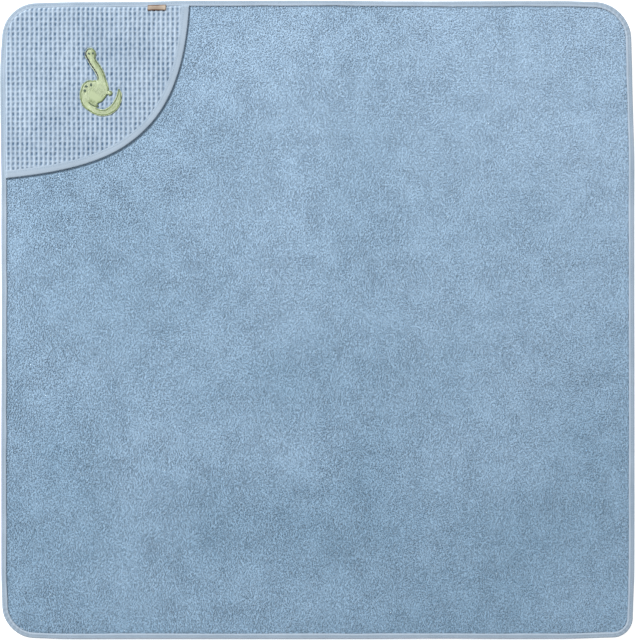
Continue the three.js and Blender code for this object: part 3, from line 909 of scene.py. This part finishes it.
def rowsAcrossOval(oval, angle):
    # straight rows at an angle to the oval
    middleX, middleY, halfWidth, halfHeight, _ = oval
    reach = max(halfWidth, halfHeight) + 4
    at, off = brickRows(reach, -reach, reach)
    x, y = at * np.cos(angle) - off * np.sin(angle), at * np.sin(angle) + off * np.cos(angle)
    return middleX + x, middleY + y


def makeFill():
    # stitches in rows over the whole figure, each part's own way, swelling towards its middle
    rng = np.random.default_rng(81)
    angles = {"head": 1.9, "paw": 0.6, "shoulder": 1.0, "belly": 1.2}
    neckX, neckY = strokeLines["neck"][::-1, 0], strokeLines["neck"][::-1, 1]
    parts = []
    for order, part in enumerate(dinosaur["filled"]):
        if part in strokeLines:
            x, y = rowsAlongStroke(strokeLines[part])
        else:
            x, y = rowsAcrossOval(dinosaur["ovals"][part], angles[part])
        mine = depthIn(part, x, y)[:, 1:4].min(1) > 0.15
        for over in dinosaur["filled"][:order]:
            mine &= depthIn(over, x, y)[:, 1:4].min(1) < 0.3
        x, y = x[mine], y[mine]
        z = stitchHeight(x, y, 0, 0.22) + rng.normal(0, 0.03, (len(x), 1))
        rim = np.exp(-np.maximum(motifDepth(x, y).mean(1) - 1.2, 0) / 1.5)
        atX, atY = x.mean(1), y.mean(1)
        patch = 0.14 * cloud(atX, atY, 7, 82) + 0.14 * cloud(atX, atY, 2.2, 87)
        # painted shade darkens the fill along the neck's right side; the fill is also darker beside the snout
        # and, in scratchy patches, over the leg
        neckShade = smooth((atX - np.interp(atY, neckY, neckX) + 0.6) / 2.4) * smooth((atY + 3) / 8)
        bySnout = smooth((np.abs(atX + 11.6) - 1.0) / 1.4) * np.exp(-((atY - 29.5) / 3.6) ** 2)
        onLeg = np.exp(-np.hypot((atX + 9.5) / 6.0, (atY + 26.5) / 4.5) ** 4)
        shadeAndMarks = 0.42 * np.maximum(neckShade, bySnout) + 0.5 * onLeg * smooth(cloud(atX, atY, 1.6, 93) + 0.6)
        parts.append((x, y, z, 0.54 + 0.32 * rim + rng.normal(0, 0.12, len(x)) + patch - shadeAndMarks))
    x, y, z, tone = (np.concatenate(v) for v in zip(*parts))
    return embroider("dinosaurFill", "dinosaur_patch", x, y, z, dinosaur["threadRadius"], tone,
                     limeThread, "lime_embroidery")


def makeUnderlay():
    # the layer of stitches under the fill, seen only between its threads
    across, upward = np.arange(-28, 28, 0.55), np.arange(-45, 45, 0.55)
    x, y = np.meshgrid(across, upward, indexing="ij")
    depth = motifDepth(x, y)
    held = depth > 0.35
    keep = held[:-1, :-1] & held[1:, :-1] & held[1:, 1:] & held[:-1, 1:]
    shape = closedSheet(x + motifMiddle[0], y + motifMiddle[1], motifHeight(depth) - 0.12,
                        np.full(x.shape, 6.0), keep, np.full(x.shape, 0.2))
    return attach(newPiece("dinosaurUnderlay", "lime_embroidery", [], limeThread, *shape), "towel")


def edgeOf(part, pitch):
    # points round a part's edge at even steps, with the way out from each
    if part in dinosaur["ovals"]:
        middleX, middleY, halfWidth, halfHeight, turn = dinosaur["ovals"][part]
        a = np.linspace(0, 2 * np.pi, 400)
        u, v = halfWidth * np.cos(a), halfHeight * np.sin(a)
        ring = np.stack([middleX + u * np.cos(turn) - v * np.sin(turn),
                         middleY + u * np.sin(turn) + v * np.cos(turn)], 1)
    else:
        line = strokeLines[part]
        tangent = unit(np.gradient(line[:, :2], axis=0))
        normal = -leftOf(tangent) * line[:, 2:]
        facing = np.arctan2(tangent[:, 1], tangent[:, 0])
        a = facing[:, None] + np.linspace(-np.pi / 2, np.pi / 2, 30)[1:-1]
        halfTurn = np.stack([np.cos(a), np.sin(a)], -1) * line[:, None, 2:]
        ring = np.concatenate([line[:, :2] + normal, line[-1, :2] + halfTurn[-1],
                               (line[:, :2] - normal)[::-1], line[0, :2] - halfTurn[0]])
        ring = np.concatenate([ring, ring[:1]])
    ring = evenly(ring, pitch)
    return ring, -unit(leftOf(np.roll(ring, -1, 0) - np.roll(ring, 1, 0)))


def satinStitches(middle, across):
    # the x and y of five points of each stitch, about its middle
    flat = middle[:, None, :] + across[:, None, :] * fivePoints[None, :, None]
    return flat[..., 0], flat[..., 1]


def makeBorder():
    # short satin stitches square across a line just inside the figure's edge
    rng = np.random.default_rng(83)
    parts = []
    for part in dinosaur["filled"]:
        ring, outward = edgeOf(part, dinosaur["borderPitch"])
        others = [depthIn(other, *ring.T) for other in dinosaur["filled"] if other != part]
        seen = np.max(others, axis=0) < 0.25
        ring, outward = ring[seen], outward[seen]
        middle = ring - outward * dinosaur["borderIn"]
        across = (outward + 0.25 * leftOf(outward)) * dinosaur["borderLength"]  # a little slanted
        x, y = satinStitches(middle, across)
        # painted shade: the outline is darker where it faces left along the neck and the head
        shadeLeftOfNeck = smooth(-outward[:, 0]) * smooth((ring[:, 1] + 2) / 6)
        patch = 0.3 * cloudOn(ring, 6, 84) + rng.normal(0, 0.1, len(ring))
        tone = 0.55 - 0.8 * shadeLeftOfNeck - 0.3 * smooth((ring[:, 1] - 2) / 8) + patch
        parts.append((x, y, stitchHeight(x, y, 0.3, 0.4), tone))
    x, y, z, tone = (np.concatenate(v) for v in zip(*parts))
    return embroider("dinosaurOutline", "dinosaur_outline", x, y, z, dinosaur["borderRadius"], tone,
                     oliveThread, "olive_embroidery")


def makeLegLine():
    # satin stitches across a short curved line
    line = strokeLines["legLine"]
    walked = walkedAlong(line[:, :2])
    at = np.arange(0, walked[-1], 0.4)
    middle = np.stack([np.interp(at, walked, line[:, k]) for k in (0, 1)], 1)
    x, y = satinStitches(middle, unit(leftOf(np.gradient(middle, axis=0))) * dinosaur["borderLength"])
    tone = np.random.default_rng(85).uniform(0.0, 0.45, len(at))
    return embroider("dinosaurLegLine", "dinosaur_leg_line", x, y, stitchHeight(x, y, 0.3, 0.4),
                     dinosaur["borderRadius"], tone, oliveThread, "olive_embroidery")


def makeDot(part, node):
    # upright satin stitches side by side, each as long as the oval is there
    middleX, middleY, halfWidth, halfHeight, turn = dinosaur["ovals"][part]
    u = np.arange(-halfWidth, halfWidth + 0.01, dinosaur["dotPitch"])
    v = fivePoints[None, :] * 2 * halfHeight * np.sqrt(np.maximum(1 - (u[:, None] / halfWidth) ** 2, 0.12))
    u = np.broadcast_to(u[:, None], v.shape)
    x = middleX + u * np.cos(turn) - v * np.sin(turn)
    y = middleY + u * np.sin(turn) + v * np.cos(turn)
    tone = np.random.default_rng(86).uniform(0.2, 0.8, len(x))
    return embroider(f"{part}Stitches", node, x, y, stitchHeight(x, y, 0.35, 0.35), dinosaur["dotRadius"],
                     tone, darkThread, "dark_embroidery")


makeUnderlay()
makeFill()
makeBorder()
makeLegLine()
makeDot("leftEye", "dinosaur_left_eye")
makeDot("rightEye", "dinosaur_right_eye")
makeDot("upperSpot", "dinosaur_upper_spot")
makeDot("middleSpot", "dinosaur_middle_spot")
makeDot("lowerSpot", "dinosaur_lower_spot")


backing = {
    "flatSize": (0.06, 0.094), "area": 0.00443,  # an oval, in metres and square metres
    "torn": 0.035,  # the share of its radius that the torn edge loses on average, and up to twice that
}


def makeBacking():
    # a square grid bent to an oval: x = u sqrt(1 - v^2 / 2), y = v sqrt(1 - u^2 / 2), with a torn edge
    u, v = np.meshgrid(np.linspace(-1, 1, 61), np.linspace(-1, 1, 91), indexing="ij")
    low, high = boxMm("embroidery_backing")
    middle, half = (low + high) / 2, (high - low) / 2
    x, y = u * np.sqrt(1 - v * v / 2), v * np.sqrt(1 - u * u / 2)
    torn = 1 - backing["torn"] * (1 + cloud(x * 40, y * 60, 6, 91)) * np.hypot(x, y) ** 6
    wave = 0.06 * cloud(x * half[0], y * half[1], 9, 92)
    x, y = middle[0] + x * half[0] * torn, middle[1] + y * half[1] * torn
    shape = closedSheet(x, y, high[2] + wave, low[2] + wave, np.ones((60, 90), bool), np.full(x.shape, 0.5))
    piece = newPiece("embroideryBacking", "backing", ["embroidery_backing"], pressedViscoseBacking(), *shape)
    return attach(piece, "towel")


makeBacking()

label = {
    "root": 5.0, "end": 12.1,  # where it leaves the seam and where it is folded, from the towel's edge
    "rootHeight": 5.05, "height": 7.6,
    "gap": 0.08, "thickness": 0.28,  # half the gap between its two legs, and one leg
    "halfWidth": 11.5, "foldWidth": 1.5,  # it bends over this far when it is lifted
    "shift": 2.0,  # sewn in this much nearer the corner
    "flatSize": (0.023, 0.0158),  # unfolded, in metres
}


def makeLabel():
    # a ribbon folded on itself: two legs beside a middle line that climbs onto the hood, joined by a
    # half turn
    low, high = boxMm("label_tab")
    low, high = low - label["shift"], high - label["shift"]
    x = np.arange(low[0], high[0] + 0.01, (high[0] - low[0]) / 46)
    path = np.stack([x, top + pulled(x, np.full(len(x), top))[1]], 1)
    inward = np.broadcast_to([0.0, -1.0], path.shape)
    inset = np.linspace(label["root"], label["end"], 17)
    climb = smooth((inset - label["root"]) / 3.0)
    middle = label["rootHeight"] + (label["height"] - label["rootHeight"]) * climb
    near, far = label["gap"], label["gap"] + label["thickness"]
    a = np.linspace(-np.pi / 2, np.pi / 2, 7)[1:-1]
    insets, heights = [], []
    for off, order in ((far, 1), (near, -1)):
        insets.append(np.concatenate([inset, label["end"] + off * np.cos(a), inset[::-1]])[::order])
        height = np.concatenate([middle - off, label["height"] + off * np.sin(a), middle[::-1] + off])
        heights.append(height[::order])
    inset = np.repeat(np.concatenate(insets)[None], len(x), 0)
    loose = smooth((inset - 7) / 5)
    fromMiddle = (x - x.mean()) / label["halfWidth"]
    wave = 0.25 * cloudOn(path, 9, 95)[:, None] + 0.3 * np.abs(fromMiddle)[:, None]
    height = np.concatenate(heights) + loose * wave
    fromRoot, fromFold = (inset - label["root"]).ravel(), (label["end"] - inset).ravel()
    inset = inset + loose * 0.35 * cloudOn(path, 12, 96)[:, None]
    points, faces, bakeUv, uv = sweptTape(path, inward, inset, height, closed=False)
    fromMiddle = (points[:, 0] - x.mean()) / label["halfWidth"]
    # the ribbon is paler over its right half; it is darker at its two sides, at its fold and where it goes
    # into the seam, partly its woven border and partly painted shade
    tone = 0.62 + 0.25 * smooth(fromMiddle * 1.15) - 0.5 * smooth((np.abs(fromMiddle) - 0.9) / 0.1)
    tone = tone - 0.6 * smooth(1.8 - fromRoot) - 0.6 * smooth(1.6 - fromFold) + 0.15 * cloudOn(points, 5, 97)
    piece = newPiece("labelRibbon", "label", ["label_root", "label_tab"], satinLabelRibbon(), tone,
                     points, faces, bakeUv, uv)
    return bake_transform(piece)


makeLabel()

studio = {
    "floorSize": 14.0, "floorColour": "#F6F6F6",
    "floorGlow": 0.6,  # it is lit from inside like a light table, so that no hard shadow falls on it
    "skyStrength": 0.55,
    "keyPlace": (-2.1, 2.6, 3.6), "keySize": 1.1, "keyPower": 275.0,
    "lens": 100.0, "frameHeight": 0.8081, "cameraShift": (-0.25, -0.43),
}


def makeStudio():
    # a wide pale floor, even white light from all round, and one soft lamp to the upper left
    size = studio["floorSize"] / 2
    mesh = bpy.data.meshes.new("studioFloor")
    corners = [(-size, -size, 0), (size, -size, 0), (size, size, 0), (-size, size, 0)]
    mesh.from_pydata(corners, [], [(0, 1, 2, 3)])
    floor = bpy.data.objects.new("studioFloor", mesh)
    bpy.context.collection.objects.link(floor)
    material, tree = clothMaterial("mattWhitePaint", 0.9, 0.0)
    surface = tree.nodes["Principled BSDF"].inputs
    surface["Base Color"].default_value = linear(studio["floorColour"])
    surface["Emission Color"].default_value = (1, 1, 1, 1)
    surface["Emission Strength"].default_value = studio["floorGlow"]
    mesh.materials.append(material)
    world = bpy.data.worlds.new("studioLight")
    world.use_nodes = True
    sky = world.node_tree.nodes["Background"].inputs
    sky["Color"].default_value, sky["Strength"].default_value = (1, 1, 1, 1), studio["skyStrength"]
    bpy.context.scene.world = world
    lamp = bpy.data.lights.new("keyLight", "AREA")
    lamp.shape, lamp.size, lamp.energy = "DISK", studio["keySize"], studio["keyPower"]
    key = bpy.data.objects.new("keyLight", lamp)
    key.location = studio["keyPlace"]
    key.rotation_euler = (-key.location).to_track_quat("-Z", "Y").to_euler()
    bpy.context.collection.objects.link(key)


def makeCamera():
    # straight down, as far off as fills the frame's height with frameHeight metres of cloth
    view = bpy.data.cameras.new("camera")
    view.lens, view.sensor_width, view.sensor_fit = studio["lens"], 36.0, "AUTO"
    distance = studio["frameHeight"] * view.lens / view.sensor_width
    camera = bpy.data.objects.new("camera", view)
    shiftX, shiftY = studio["cameraShift"]
    camera.location = (shiftX * mm, shiftY * mm, distance + 4 * mm)  # the cloth lies 4 mm up
    bpy.context.collection.objects.link(camera)
    bpy.context.scene.camera = camera


makeStudio()
makeCamera()
bpy.context.scene.view_settings.view_transform = "Standard"

print("scene built")
